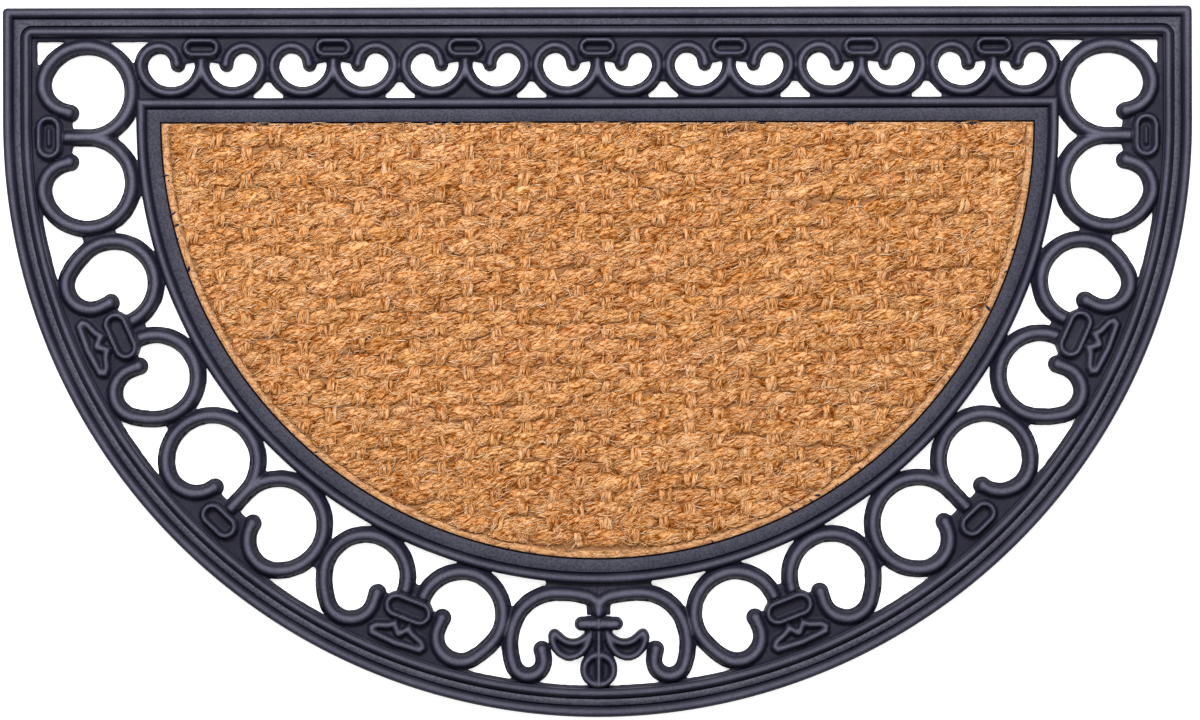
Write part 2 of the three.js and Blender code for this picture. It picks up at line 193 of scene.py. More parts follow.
class Tree:
    """Short hand for a material's node tree."""

    def __init__(self, name):
        self.material = bpy.data.materials.new(name)
        self.material.use_nodes = True
        self.nodes = self.material.node_tree.nodes
        self.links = self.material.node_tree.links
        self.shader = self.nodes["Principled BSDF"]

    def node(self, kind, **values):
        n = self.nodes.new(kind)
        for key, value in values.items():
            if key in n.inputs:
                n.inputs[key].default_value = value
            else:
                setattr(n, key, value)
        return n

    def link(self, a, b):
        self.links.new(a, b)

    def put(self, n, values):
        for key, value in values.items():
            if isinstance(value, (int, float, tuple)):
                n.inputs[key].default_value = value
            else:
                self.link(value, n.inputs[key])

    def noise(self, scale, detail, rough, stretch=None, bearing=0.0):
        n = self.node("ShaderNodeTexNoise", Scale=scale, Detail=detail, Roughness=rough)
        coords = self.node("ShaderNodeTexCoord").outputs["Object"]
        if stretch:
            m = self.node("ShaderNodeMapping", vector_type="TEXTURE")
            m.inputs["Scale"].default_value = [1 / v for v in stretch]
            m.inputs["Rotation"].default_value = (0, 0, bearing)
            self.link(coords, m.inputs["Vector"])
            coords = m.outputs["Vector"]
        self.link(coords, n.inputs["Vector"])
        return n.outputs["Fac"]

    def ramp(self, source, stops):
        n = self.nodes.new("ShaderNodeValToRGB")
        while len(n.color_ramp.elements) < len(stops):
            n.color_ramp.elements.new(0.5)
        for element, (place, colour) in zip(n.color_ramp.elements, stops):
            element.position = place
            element.color = (*colour, 1)
        self.link(source, n.inputs["Fac"])
        return n.outputs["Color"]

    def math(self, operation, a, b):
        n = self.node("ShaderNodeMath", operation=operation)
        self.put(n, {0: a, 1: b})
        return n.outputs["Value"]

    def attribute(self, name):
        return self.node("ShaderNodeAttribute", attribute_name=name).outputs["Fac"]

    def vary(self, value, noise, amount):
        """The value, raised and lowered by up to half the amount."""
        centred = self.math("SUBTRACT", noise, 0.5)
        return self.math("ADD", value, self.math("MULTIPLY", centred, amount))

    def rise(self, low, high):
        """From 0 at one height above the floor to 1 at another."""
        coords = self.node("ShaderNodeSeparateXYZ")
        self.link(self.node("ShaderNodeTexCoord").outputs["Object"], coords.inputs[0])
        n = self.nodes.new("ShaderNodeMapRange")
        n.inputs["From Min"].default_value, n.inputs["From Max"].default_value = low * MM, high * MM
        self.link(coords.outputs["Z"], n.inputs["Value"])
        return n.outputs["Result"]

    def mix(self, blend, amount, a, b):
        n = self.node("ShaderNodeMix", data_type="RGBA", blend_type=blend)
        self.put(n, {MIX_FACTOR: amount, MIX_A: a, MIX_B: b})
        return n.outputs[MIX_RESULT]

    def bump(self, height, strength):
        n = self.node("ShaderNodeBump", Strength=strength, Distance=BUMP_DEPTH)
        self.link(height, n.inputs["Height"])
        self.link(n.outputs["Normal"], self.shader.inputs["Normal"])

    def output(self, colour, rough, specular):
        self.link(colour, self.shader.inputs["Base Color"])
        self.link(rough, self.shader.inputs["Roughness"])
        self.shader.inputs["Specular IOR Level"].default_value = specular
        return self.material


def rubber_material(name, grain, hollow, crest):
    """Black rubber from painted shade in its hollows and on its flanks to a painted highlight on
    its crests, by a value at each point that also gives the flat bands their lightness.
    """
    t = Tree(name)
    cloud = t.noise(28, 4, 0.65)
    fine = t.noise(900, 3, 0.7)
    speck = t.noise(680, 2, 0.6)
    base = t.ramp(t.vary(t.attribute("painted_light_and_band_tone"), cloud, 0.5), [(0.0, hollow), (1.0, crest)])
    dim = 0.8 - 0.32 * grain
    grit = t.ramp(speck, [(0.36, (dim, dim, dim)), (0.60, (1, 1, 1))])
    colour = t.mix("MULTIPLY", 1.0, base, grit)
    rough = t.math("ADD", t.math("MULTIPLY", fine, 0.16), 0.46 + 0.08 * grain)
    bumps = t.math("ADD", t.math("MULTIPLY", speck, 0.6 * grain), fine)
    t.bump(bumps, 0.35 + 0.4 * grain)
    return t.output(colour, rough, 0.16)


# the moulded rubber's colours run from its painted shade to its painted highlight; the grained
# bands' colours span their lightness
RUBBER = rubber_material("rubber_moulded", 0.2, (0.008, 0.0075, 0.018), (0.082, 0.080, 0.116))
RUBBER_GRAIN = rubber_material(
    "rubber_grained", 1.0, (0.022, 0.0215, 0.039), (0.105, 0.103, 0.134)
)

GOLD = [
    (0.0, (0.17, 0.038, 0.001)), (0.25, (0.38, 0.144, 0.026)), (0.5, (0.555, 0.304, 0.123)),
    (0.75, (0.635, 0.42, 0.245)), (1.0, (0.70, 0.545, 0.39)),
]
PINK = [
    (0.0, (0.18, 0.038, 0.003)), (0.3, (0.415, 0.155, 0.047)), (0.6, (0.605, 0.34, 0.173)),
    (1.0, (0.70, 0.525, 0.38)),
]
# painted shade: low in the weave the coir turns a dark, saturated brown between these two heights,
# for the shade in the weave's valleys
VALLEY_SHADE_COLOUR, VALLEY_SHADE_FROM, VALLEY_SHADE_TO = (0.15, 0.042, 0.006, 1), 5.7, 6.9
DUSTY_COLOUR = (0.43, 0.28, 0.15, 1)


def coir_material(name, bearing, gap_shade_depth=0.38, pale=0.0):
    """Colour from the piece's own tone and warmth, with short dark strokes of painted shade along
    the bearing, for the gaps between strands, and painted shade low in the weave.
    """
    t = Tree(name)
    tone = t.attribute("tone")
    warmth = t.attribute("warmth")
    streak = t.noise(1000, 3, 0.65, (0.25, 1.0, 1.0), bearing)
    gap = t.noise(600, 2, 0.6, (0.34, 1.0, 1.0), bearing)
    patch = t.noise(24, 3, 0.6)
    hue = t.noise(70, 2, 0.5)
    total = t.vary(t.vary(tone, streak, 0.86), patch, 0.08)
    # painted shade: dark strokes for the gaps between strands
    gap_shade = t.ramp(gap, [(0.38, (1, 1, 1)), (0.49, (0, 0, 0))])
    total = t.math("SUBTRACT", total, t.math("MULTIPLY", gap_shade, gap_shade_depth))
    gold = t.ramp(total, GOLD)
    pink = t.ramp(total, PINK)
    warmth = t.vary(warmth, hue, 0.6)
    colour = t.mix("MIX", t.math("MINIMUM", t.math("MAXIMUM", warmth, 0.0), 1.0), gold, pink)
    # painted shade in the weave's valleys
    colour = t.mix("MIX", t.rise(VALLEY_SHADE_FROM, VALLEY_SHADE_TO), VALLEY_SHADE_COLOUR, colour)
    colour = t.mix("MIX", pale, colour, DUSTY_COLOUR)
    t.bump(streak, 0.6)
    return t.output(colour, t.math("ADD", t.math("MULTIPLY", streak, 0.15), 0.8), 0.0)


COIR_WEFT = coir_material("coir_weft", radians(15))
COIR_WARP = coir_material("coir_warp", radians(88))
COIR_PRESSED = coir_material("coir_pressed", 0.0, 0.36, 0.3)


# ---- rims ------------------------------------------------------------------------------------
CORNER_POINTS, ARC_POINTS, RIDGE_STEPS = 7, 181, 10
RIDGE_POWER = 0.8
BAND_TOP, BAND_SLACK = 6.2, 0.06
PLATE_INSET, PLATE_CORNER, PLATE_MIDDLE = 14.0, 0.3, (0, 50)


def half_round(radius, rise, inset, corner):
    """The half round outline, drawn in, with rounded corners and always as many points."""
    radius, rise = radius - inset, rise - inset
    side, top = radius - corner, CENTRE_Y + rise - corner
    points = []
    for sign, start in ((1, 0), (-1, 90)):
        for angle in np.radians(np.linspace(start, start + 90, CORNER_POINTS)):
            points.append((sign * side + corner * np.cos(angle), top + corner * np.sin(angle)))
    for angle in np.radians(np.linspace(180, 360, ARC_POINTS)):
        points.append((radius * np.cos(angle), CENTRE_Y + radius * np.sin(angle)))
    return np.array(points)


def ridge(centre, half, foot, top):
    """Insets and heights over a rounded ridge, from its outer foot to its inner one."""
    angles = np.linspace(pi, 0, RIDGE_STEPS + 1)
    return [
        (centre + half * cos(a), foot + (top - foot) * sin(a) ** RIDGE_POWER)
        for a in angles
    ]


def rim(radius, rise, profile, corner_at, shade_at):
    """A closed ring with the profile, which lists insets and heights, swept round the outline."""
    loops = [half_round(radius, rise, d, corner_at(d)) for d, _ in profile]
    count = len(loops[0])
    points = np.concatenate([
        np.column_stack([loop, np.full(count, z)]) for loop, (_, z) in zip(loops, profile)
    ])
    faces, band = [], []
    for j in range(len(profile)):
        k = (j + 1) % len(profile)
        faces.append(strip(count, j * count, k * count))
        flat = all(abs(profile[m][1] - BAND_TOP) < BAND_SLACK for m in (j, k))
        band.append(np.full(count, int(flat)))
    shade = np.repeat([shade_at(d) for d, _ in profile], count)
    return points, np.concatenate(faces), np.concatenate(band), shade


outer_profile = (
    [(0.0, 0.0), (0.0, 4.6)]
    + ridge(3.4, 3.2, 5.0, CREST)
    + [(6.95, 4.3), (7.25, 4.6), (7.4, 6.0), (7.6, BAND_TOP), (9.5, BAND_TOP + 0.03)]
    + [(11.2, BAND_TOP), (11.4, 6.0), (11.55, 4.6), (12.0, 4.2), (12.5, 4.6)]
    + ridge(15.3, 2.8, 5.2, CREST - 0.1)
    + [(18.25, 4.0), (18.25, 0.0)]
)
inner_profile = (
    [(0.0, 0.0), (0.0, 4.4)]
    + ridge(3.4, 3.1, 4.9, CREST)
    + [(6.9, 4.5), (7.2, 4.7), (7.4, 6.0), (7.6, BAND_TOP), (11.0, BAND_TOP - 0.03)]
    + [(15.2, BAND_TOP), (15.45, 6.0), (15.7, 5.0), (15.9, 0.0)]
)


def outer_corner(d):
    return float(np.interp(d, [0, 6.6, 7.6, 9.5, 11.2, 18.3], [3.0, 0.8, 0.4, 0.4, 7.9, 0.9]))


def outer_shade(d):
    return float(np.interp(d, [7.6, 9.5, 11.2], [0.1, 0.4, 0.62]))


rim_a, faces_a, band_a, shade_a = rim(
    MAT_RADIUS, STRIP_RISE, outer_profile, outer_corner, outer_shade
)
rim_b, faces_b, band_b, shade_b = rim(
    INNER_RADIUS, INNER_RISE, inner_profile, lambda d: 0.25, lambda d: 0.2
)
# the tray's floor, a plate under the panel
plate = half_round(INNER_RADIUS, INNER_RISE, PLATE_INSET, PLATE_CORNER)
count = len(plate)
plate_points = np.concatenate([
    np.column_stack([plate, np.full(count, z)]) for z in (0.0, TRAY_FLOOR)
] + [np.array([(*PLATE_MIDDLE, 0.0), (*PLATE_MIDDLE, TRAY_FLOOR)])])
walls = strip(count, 0, count)
caps = np.concatenate([fan(count, 0, 2 * count)[:, [1, 0, 2]], fan(count, count, 2 * count + 1)])
shift_b, shift_c = len(rim_a), len(rim_a) + len(rim_b)
rims = new_mesh(
    "rubber_rims",
    np.concatenate([rim_a, rim_b, plate_points]),
    [np.concatenate([faces_a, faces_b + shift_b, walls + shift_c]), caps + shift_c],
    RUBBER,
)
rims.data.materials.append(RUBBER_GRAIN)
grain = np.concatenate([band_a, band_b, np.zeros(len(walls) + len(caps), int)])
rims.data.polygons.foreach_set("material_index", grain.astype(np.int32))

# ---- scrollwork: a field over the plan gives the outline, and a second one the height ---------
PITCH = 1.0
PLAN_X, PLAN_Y = 360, 210
FILLET = 0.22
NEAREST, FARTHEST = -30, 60
ARC_STEP = 4.0
DOME_POWER = 0.55
ROUND_TOP, END_TOP, END_SWELL = CREST - 0.1, CREST - 0.05, 0.45
PATH_MARGIN, BOX_MARGIN = 14, 8
xs = np.arange(-PLAN_X, PLAN_X + PITCH / 2, PITCH)
ys = np.arange(-PLAN_Y, PLAN_Y + PITCH / 2, PITCH)
X, Y = np.meshgrid(xs, ys)
solid_sum = np.zeros_like(X)
opening = np.full_like(X, 50.0)
height = np.full_like(X, WEB_TOP)


def scroll_path(scroll):
    """The centre line of a pair's left scroll, in the pair's own axes."""
    x, y, heading = scroll.arcs[0][0] - scroll.spread, 0.0, -pi / 2
    points = [(x, float(scroll.stem)), (x, y)]
    for radius, turn in scroll.arcs:
        mx, my = x + radius * sin(heading), y - radius * cos(heading)
        steps = ceil(turn / ARC_STEP)
        for _ in range(steps):
            heading -= radians(turn) / steps
            x, y = mx - radius * sin(heading), my + radius * cos(heading)
            points.append((x, y))
    points.append((x + scroll.run * cos(heading), y + scroll.run * sin(heading)))
    return np.array(points)


def to_world(points, frame_at):
    fx, fy, turn = frame_at
    c, s = cos(radians(turn)), sin(radians(turn))
    x, y = points[:, 0], points[:, 1]
    return np.column_stack([fx + c * x - s * y, fy + s * x + c * y])


def window(points, margin):
    lo, hi = points.min(0) - margin, points.max(0) + margin
    a = np.clip(np.searchsorted(xs, [lo[0], hi[0]]), 0, len(xs))
    b = np.clip(np.searchsorted(ys, [lo[1], hi[1]]), 0, len(ys))
    return (slice(b[0], b[1]), slice(a[0], a[1]))


def path_distance(x, y, path):
    best = np.full_like(x, np.inf)
    for (ax, ay), (bx, by) in zip(path[:-1], path[1:]):
        dx, dy = bx - ax, by - ay
        t = np.clip(((x - ax) * dx + (y - ay) * dy) / (dx * dx + dy * dy + 1e-12), 0, 1)
        best = np.minimum(best, (x - ax - t * dx) ** 2 + (y - ay - t * dy) ** 2)
    return np.sqrt(best)


def polygon_distance(x, y, outline):
    """Distance to a closed outline, negative inside it."""
    closed = np.vstack([outline, outline[:1]])
    inside = np.zeros(x.shape, bool)
    for (ax, ay), (bx, by) in zip(closed[:-1], closed[1:]):
        crosses = (ay > y) != (by > y)
        with np.errstate(divide="ignore", invalid="ignore"):
            at = ax + (y - ay) / (by - ay) * (bx - ax)
        inside ^= crosses & (x < at)
    return np.where(inside, -1, 1) * path_distance(x, y, closed)


def local(win, frame_at):
    fx, fy, turn = frame_at
    c, s = cos(radians(turn)), sin(radians(turn))
    x, y = X[win] - fx, Y[win] - fy
    return c * x + s * y, -s * x + c * y


def box_distance(x, y, half, low, high):
    qx, qy = np.abs(x) - half, np.abs(y - (low + high) / 2) - (high - low) / 2
    return np.hypot(np.maximum(qx, 0), np.maximum(qy, 0)) + np.minimum(np.maximum(qx, qy), 0)


def add_solid(win, distance):
    """Add a shape to the sum, whose logarithm joins the shapes with small fillets."""
    solid_sum[win] += np.exp(-np.clip(distance, NEAREST, FARTHEST) / FILLET)


def raise_to(win, z):
    height[win] = np.maximum(height[win], z)


def stamp(win, out, figure, moat, floor=WEB_TOP):
    """Put a figure where out is negative, and sink what surrounds it to the floor."""
    around = floor + (height[win] - floor) * np.clip(out / moat, 0, 1)
    height[win] = np.where(out < 0, figure, around)


def dome(distance, half, foot, top):
    """A rounded cross-section over a distance from its middle."""
    inside = np.clip(1 - (distance / half) ** 2, 0, None)
    return np.where(inside > 0, foot + (top - foot) * inside ** DOME_POWER, 0.0)


def mirror(path):
    return path * np.array([-1, 1])


def square(half, low, high):
    return np.array([(-half, low), (half, low), (half, high), (-half, high)])


def oblong_distance(x, y, length, width, up):
    side = (length - width) / 2
    return np.hypot(np.maximum(np.abs(x) - side, 0), y - up) - width / 2


def box_window(size, at, margin):
    return window(to_world(square(*size), at), margin)


for kind, scroll in SCROLLS.items():
    rib = scroll.rib
    left = scroll_path(scroll)
    for at in FRAMES[kind]:
        for path in (left, mirror(left)):
            hole = np.vstack([[(path[0, 0], scroll.mouth)], path[1:]])
            path, hole = to_world(path, at), to_world(hole, at)
            win = window(path, PATH_MARGIN)
            x, y = X[win], Y[win]
            distance = path_distance(x, y, path)
            add_solid(win, distance - rib["foot"])
            raise_to(win, dome(distance, rib["round"], RIB_FOOT, ROUND_TOP))
            end = np.hypot(x - path[-1, 0], y - path[-1, 1])
            add_solid(win, end - scroll.end)
            raise_to(win, dome(end, rib["round"] + END_SWELL, RIB_FOOT, END_TOP))
            opening[win] = np.minimum(opening[win], polygon_distance(x, y, hole))
for at in FRAMES["between_small"]:
    win = box_window(GAP_BETWEEN_SMALL, at, 3)
    opening[win] = np.minimum(opening[win], box_distance(*local(win, at), *GAP_BETWEEN_SMALL))
for kind, size in WEBS.items():
    for at in FRAMES[kind]:
        win = box_window(size, at, BOX_MARGIN)
        add_solid(win, np.maximum(box_distance(*local(win, at), *size), -opening[win]))
for kind, size in GUSSETS.items():
    for at in FRAMES[kind]:
        win = box_window(size, at, BOX_MARGIN)
        add_solid(win, box_distance(*local(win, at), *size))


def inset_from(radius, rise):
    """How far each point of the plan lies inside a half round outline."""
    side = np.where(Y > CENTRE_Y, np.abs(X), np.hypot(X, Y - CENTRE_Y))
    return np.minimum(radius - side, CENTRE_Y + rise - Y)


# the lips of both rims
inset = inset_from(MAT_RADIUS, STRIP_RISE)
inner = inset_from(INNER_RADIUS, INNER_RISE)
straight = np.clip((Y - CENTRE_Y) / LIP_CHANGE, 0, 1)
add_solid(..., inset - (LIP_INSET + (STRAIGHT_LIP - LIP_INSET) * straight))
add_solid(..., -inner)

# clasps: a rounded loop with a slot, stamped over the ribs that pass under it
CLASP_MOAT, CLASP_SWELL = 1.0, 0.4
SLOT_TOP = 3.3
BAR_WIDTH, BAR_INSET, BAR_TOP = 3.2, 7, 6.2
for kind, (length, width, up, rib_width) in CLASPS.items():
    for at in FRAMES[kind]:
        win = box_window((length / 2 + 3, up - width / 2 - 3, up + width / 2 + 3), at, 2)
        x, y = local(win, at)
        out = oblong_distance(x, y, length, width, up)
        add_solid(win, out - CLASP_SWELL)
        loop = dome(np.abs(out + rib_width / 2), rib_width / 2, LIP_FOOT + 0.3, CREST + 0.5)
        slot = np.full_like(loop, SLOT_TOP)
        if kind == "corner":
            bar = oblong_distance(x, y, length - 2 * rib_width - BAR_INSET, BAR_WIDTH, up)
            from_middle = np.clip(bar + BAR_WIDTH / 2, 0, None)
            slot = np.maximum(slot, dome(from_middle, BAR_WIDTH / 2, SLOT_TOP, BAR_TOP))
        figure = np.where(out < -rib_width, slot, np.maximum(loop, SLOT_TOP))
        stamp(win, out, figure, CLASP_MOAT)

# leaf figures in the leaf pairs
LEAF_SWELL, LEAF_HALF, LEAF_TOP, LEAF_MOAT, LEAF_SUNK = 1.8, 2.6, 7.8, 1.0, 0.3
leaf = np.array(LEAF_OUTLINE + [(-px, py) for px, py in LEAF_OUTLINE[-2:0:-1]])
for at in FRAMES["leaf"]:
    win = window(to_world(leaf, at), 4)
    out = polygon_distance(*local(win, at), leaf) - LEAF_SWELL
    figure = np.maximum(dome(np.abs(out + LEAF_HALF), LEAF_HALF, LIP_FOOT, LEAF_TOP), WEB_TOP)
    stamp(win, out, figure, LEAF_MOAT, WEB_TOP - LEAF_SUNK)


def rounded(outline):
    """A closed outline with its corners cut smooth."""
    for _ in range(2):
        follow = np.roll(outline, -1, axis=0)
        cuts = [0.75 * outline + 0.25 * follow, 0.25 * outline + 0.75 * follow]
        outline = np.stack(cuts, 1).reshape(-1, 2)
    return outline


# centre ornament: a stem through a cross bar and a ring, with a crescent leaf on either side
CRESCENT = rounded(np.array([
    (4.2, 13.4), (7.0, 16.0), (10.5, 19.3), (15.2, 21.4), (20.2, 20.4), (23.6, 17.4), (26.4, 14.9),
    (29.4, 14.8), (31.8, 17.6), (32.0, 21.0), (30.8, 25.0), (29.0, 28.8), (25.6, 32.6),
    (19.4, 35.2), (12.6, 33.8), (7.6, 29.6), (4.4, 24.0), (2.6, 18.0),
]))
CRESCENT_SWELL, CRESCENT_AT, CRESCENT_HALF, CRESCENT_MOAT = 0.2, 2.4, 2.5, 0.9
RING_UP, RING_OUT, RING_IN, RING_FLOOR = 40.3, 12.0, 6.8, 2.8
STEM_MIDDLE, STEM_REACH, STEM_HALF = 5.5, 6.5, 2.8
CHEVRON, CHEVRON_HALF, CHEVRON_TOP = [(0.0, -7.6), (3.2, -10.4)], 1.1, 4.6
BLADE, BLADE_WEB = (2.3, 8.0, 51.0), (2.8, -5.0, 51.0)
BLADE_FOOT, BLADE_RISE, BLADE_HALF, BLADE_POWER = 5.2, 3.1, 2.6, 0.8
CROSS, CROSS_EDGE, CROSS_HALF = (31.0, 8.8, 11.5), 1.2, 3.7
SPINE_HALF, SPINE_FOOT, SPINE_RISE = 1.1, CREST - 0.3, 0.9
for at in FRAMES["centre"]:
    win = box_window((36, -10, 56), at, 2)
    x, y = local(win, at)
    around = np.hypot(x, y - RING_UP)
    add_solid(win, around - RING_OUT)
    out = polygon_distance(np.abs(x), y, CRESCENT)
    add_solid(win, out - CRESCENT_SWELL)
    figure = dome(np.abs(out + CRESCENT_AT), CRESCENT_HALF, LIP_FOOT, CREST - 0.2)
    stamp(win, out, np.maximum(figure, WEB_TOP), CRESCENT_MOAT)
    middle, half = (RING_OUT + RING_IN) / 2, (RING_OUT - RING_IN) / 2
    ring_z = np.maximum(dome(np.abs(around - middle), half, LIP_FOOT, CREST + 0.1), WEB_TOP)
    disc_z = np.where(around < RING_IN, RING_FLOOR, ring_z)
    height[win] = np.where(around < RING_OUT, disc_z, height[win])
    stem = np.hypot(np.maximum(np.abs(y - STEM_MIDDLE) - STEM_REACH, 0), x)
    raise_to(win, dome(stem, STEM_HALF, RIB_FOOT, CREST))
    chevron = path_distance(np.abs(x), y, np.array(CHEVRON))
    raise_to(win, dome(chevron, CHEVRON_HALF, WEB_TOP, CHEVRON_TOP))
    sharp = np.clip(1 - np.abs(x) / BLADE_HALF, 0, 1) ** BLADE_POWER
    blade_z = np.maximum(BLADE_FOOT + BLADE_RISE * sharp, height[win])
    height[win] = np.where(box_distance(x, y, *BLADE) < 0, blade_z, height[win])
    add_solid(win, box_distance(x, y, *BLADE_WEB))
    cross = oblong_distance(x, y, *CROSS)
    add_solid(win, cross)
    from_middle = np.clip(cross + CROSS[1] / 2, 0, None)
    cross_z = dome(from_middle, CROSS_HALF, LIP_FOOT, CREST + 0.25)
    spine_z = SPINE_FOOT + SPINE_RISE * np.clip(1 - np.abs(x) / SPINE_HALF, 0, 1)
    spine_z = np.maximum(cross_z, spine_z * (cross < -CROSS_EDGE))
    cross_z = np.where(np.abs(x) < SPINE_HALF, spine_z, cross_z)
    height[win] = np.where(cross < 0, np.maximum(cross_z, WEB_TOP), height[win])


def bilinear(values, iy, ix, ty, tx):
    low = values[iy, ix] * (1 - tx) + values[iy, ix + 1] * tx
    high = values[iy + 1, ix] * (1 - tx) + values[iy + 1, ix + 1] * tx
    return low * (1 - ty) + high * ty


def uneven(cell, seed):
    """Smooth random values over the grid, with lumps about a cell across."""
    draw = np.random.default_rng(seed)
    values = draw.normal(0, 1, (int(len(ys) / cell) + 3, int(len(xs) / cell) + 3))
    at_y, at_x = np.arange(len(ys)) / cell, np.arange(len(xs)) / cell
    iy, ix = at_y.astype(int), at_x.astype(int)
    ty, tx = (at_y - iy)[:, None], (at_x - ix)[None, :]
    ty, tx = ty * ty * (3 - 2 * ty), tx * tx * (3 - 2 * tx)
    return bilinear(values, iy[:, None], ix[None, :], ty, tx)


# The moulding is never quite even: its edges waver, and its faces dip and swell. Each row is how
# much, over how many millimetres, and a seed.
EDGE_WAVER = [(0.09, 3.0, 5), (0.08, 9.0, 6)]
FACE_WAVER = [(0.05, 4.0, 7), (0.05, 13.0, 8)]
UNDER_OUTER, UNDER_INNER = 16.5, 3.0
field = -FILLET * np.log(solid_sum + 1e-30)
field += sum(much * uneven(cell, seed) for much, cell, seed in EDGE_WAVER)
height += sum(much * uneven(cell, seed) for much, cell, seed in FACE_WAVER)
# the scrollwork runs a little way under both rims
field = np.maximum(field, np.maximum(UNDER_OUTER - inset, inner - UNDER_INNER))
CUT_LOW, CUT_HIGH = 0.06, 0.94
DROP_REACH, DROP, DROP_POWER = 0.9, 0.75, 1.5


def marching_squares(values):
    """Faces where values are negative: points on the plan, faces and the open edges."""
    inside = values < 0
    number = np.full(values.shape, -1)
    number[inside] = np.arange(inside.sum())
    plan = [np.column_stack([X[inside], Y[inside]])]
    total = int(inside.sum())
    crossing = []
    for a, b in (
        ((slice(None), slice(0, -1)), (slice(None), slice(1, None))),
        ((slice(0, -1), slice(None)), (slice(1, None), slice(None))),
    ):
        va, vb = values[a], values[b]
        cut = (va < 0) != (vb < 0)
        t = np.clip(va[cut] / (va[cut] - vb[cut]), CUT_LOW, CUT_HIGH)
        plan.append(np.column_stack([
            X[a][cut] + t * (X[b][cut] - X[a][cut]),
            Y[a][cut] + t * (Y[b][cut] - Y[a][cut]),
        ]))
        ids = np.full(cut.shape, -1)
        ids[cut] = total + np.arange(cut.sum())
        total += int(cut.sum())
        crossing.append(ids)
    h, v = crossing
    corner = [number[:-1, :-1], number[:-1, 1:], number[1:, 1:], number[1:, :-1]]
    edge = [h[:-1, :], v[:, 1:], h[1:, :], v[:, :-1]]
    parts = {f"c{i}": corner[i] for i in range(4)} | {f"e{i}": edge[i] for i in range(4)}
    code = sum((corner[i] >= 0).astype(int) << i for i in range(4))
    cases = {
        1: "c0 e0 e3", 2: "c1 e1 e0", 3: "c0 c1 e1 e3", 4: "c2 e2 e1", 5: "c0 e0 e1 c2 e2 e3",
        6: "c1 c2 e2 e0", 7: "c0 c1 c2 e2 e3", 8: "c3 e3 e2", 9: "c0 e0 e2 c3",
        10: "c1 e1 e2 c3 e3 e0", 11: "c0 c1 e1 e2 c3", 12: "c2 c3 e3 e1", 13: "c0 e0 e1 c2 c3",
        14: "c1 c2 c3 e3 e0", 15: "c0 c1 c2 c3",
    }
    faces, rim_edges = {}, []
    for case, names in cases.items():
        here = code == case
        if not here.any():
            continue
        names = names.split()
        rows_of = np.column_stack([parts[name][here] for name in names])
        faces.setdefault(len(names), []).append(rows_of)
        for k, name in enumerate(names):
            follow = (k + 1) % len(names)
            if name[0] == "e" and names[follow][0] == "e":
                rim_edges.append(rows_of[:, [k, follow]])
    groups = [np.concatenate(found) for found in faces.values()]
    return np.concatenate(plan), groups, np.concatenate(rim_edges)


def sample(values, points):
    """Bilinear values of a grid at points on the plan."""
    fx, fy = (points[:, 0] - xs[0]) / PITCH, (points[:, 1] - ys[0]) / PITCH
    ix, iy = np.clip(fx.astype(int), 0, len(xs) - 2), np.clip(fy.astype(int), 0, len(ys) - 2)
    return bilinear(values, iy, ix, fy - iy, fx - ix)


def relief(name, values):
    """A closed moulding: the height field on top, walls round its edges and a flat underside."""
    plan, groups, rim_edges = marching_squares(values)
    rounding = np.clip(1 + sample(field, plan) / DROP_REACH, 0, 1) ** DROP_POWER
    z = sample(height, plan) - DROP * rounding
    wall_ids = np.unique(rim_edges)
    place = np.full(len(plan), -1)
    place[wall_ids] = np.arange(len(wall_ids)) + len(plan)
    a, b = rim_edges[:, 0], rim_edges[:, 1]
    walls = np.column_stack([b, a, place[a], place[b]])
    under = plan[wall_ids]
    back = place - len(plan)
    corners = [tuple(map(float, p)) for p in under]
    edges = [(int(back[p]), int(back[q])) for p, q in rim_edges]
    found, _, tri, origin, *_ = delaunay_2d_cdt(corners, edges, [], 0, 1e-5)
    found, tri = np.array([tuple(p) for p in found]), np.array(tri)
    tri = tri[sample(values, found[tri].mean(1)) < 0]
    tri = np.array([ids[0] for ids in origin])[tri] + len(plan)
    points = np.concatenate([
        np.column_stack([plan, z]), np.column_stack([under, np.zeros(len(under))]),
    ])
    return new_mesh(name, points, groups + [walls, tri[:, ::-1]], RUBBER)


# painted light: faces that look up and lie high are painted lighter, a painted highlight on the
# crests, while steep flanks and low hollows get painted shade
LIGHT_FACING, LIGHT_POWER, LIGHT_LEAST = 0.66, 3.6, 0.06
LIGHT_FROM, LIGHT_OVER = 4.4, 2.6
RIM_LIGHT, RIM_LIGHT_POWER = 0.82, 2.0
scrolls = relief("rubber_scrollwork", field)
for o in (rims, scrolls):
    count = len(o.data.vertices)
    at, normal = np.empty(3 * count, np.float32), np.empty(3 * count, np.float32)
    o.data.vertices.foreach_get("co", at)
    o.data.vertex_normals.foreach_get("vector", normal)
    z, facing = at[2::3] / MM, normal[2::3]
    upward = np.clip((facing - LIGHT_FACING) / (1 - LIGHT_FACING), 0, 1) ** LIGHT_POWER
    painted_light_and_band_tone = upward * (LIGHT_LEAST + (1 - LIGHT_LEAST) * np.clip((z - LIGHT_FROM) / LIGHT_OVER, 0, 1))
    # on the flat bands the value is the bands' own lightness, the outer band darker towards its
    # outer ridge; elsewhere on the rims the painted highlight is narrowed
    if o is rims:
        band = np.abs(z - BAND_TOP) < BAND_SLACK
        band_shade = np.concatenate([shade_a, shade_b, np.zeros(len(plate_points))])
        painted_light_and_band_tone = np.where(band, band_shade, RIM_LIGHT * painted_light_and_band_tone ** RIM_LIGHT_POWER)
    set_attribute(o, "painted_light_and_band_tone", painted_light_and_band_tone)

# ---- coir ------------------------------------------------------------------------------------
PANEL_GAP = 0.4
EDGE = TRAY_RADIUS - PANEL_GAP
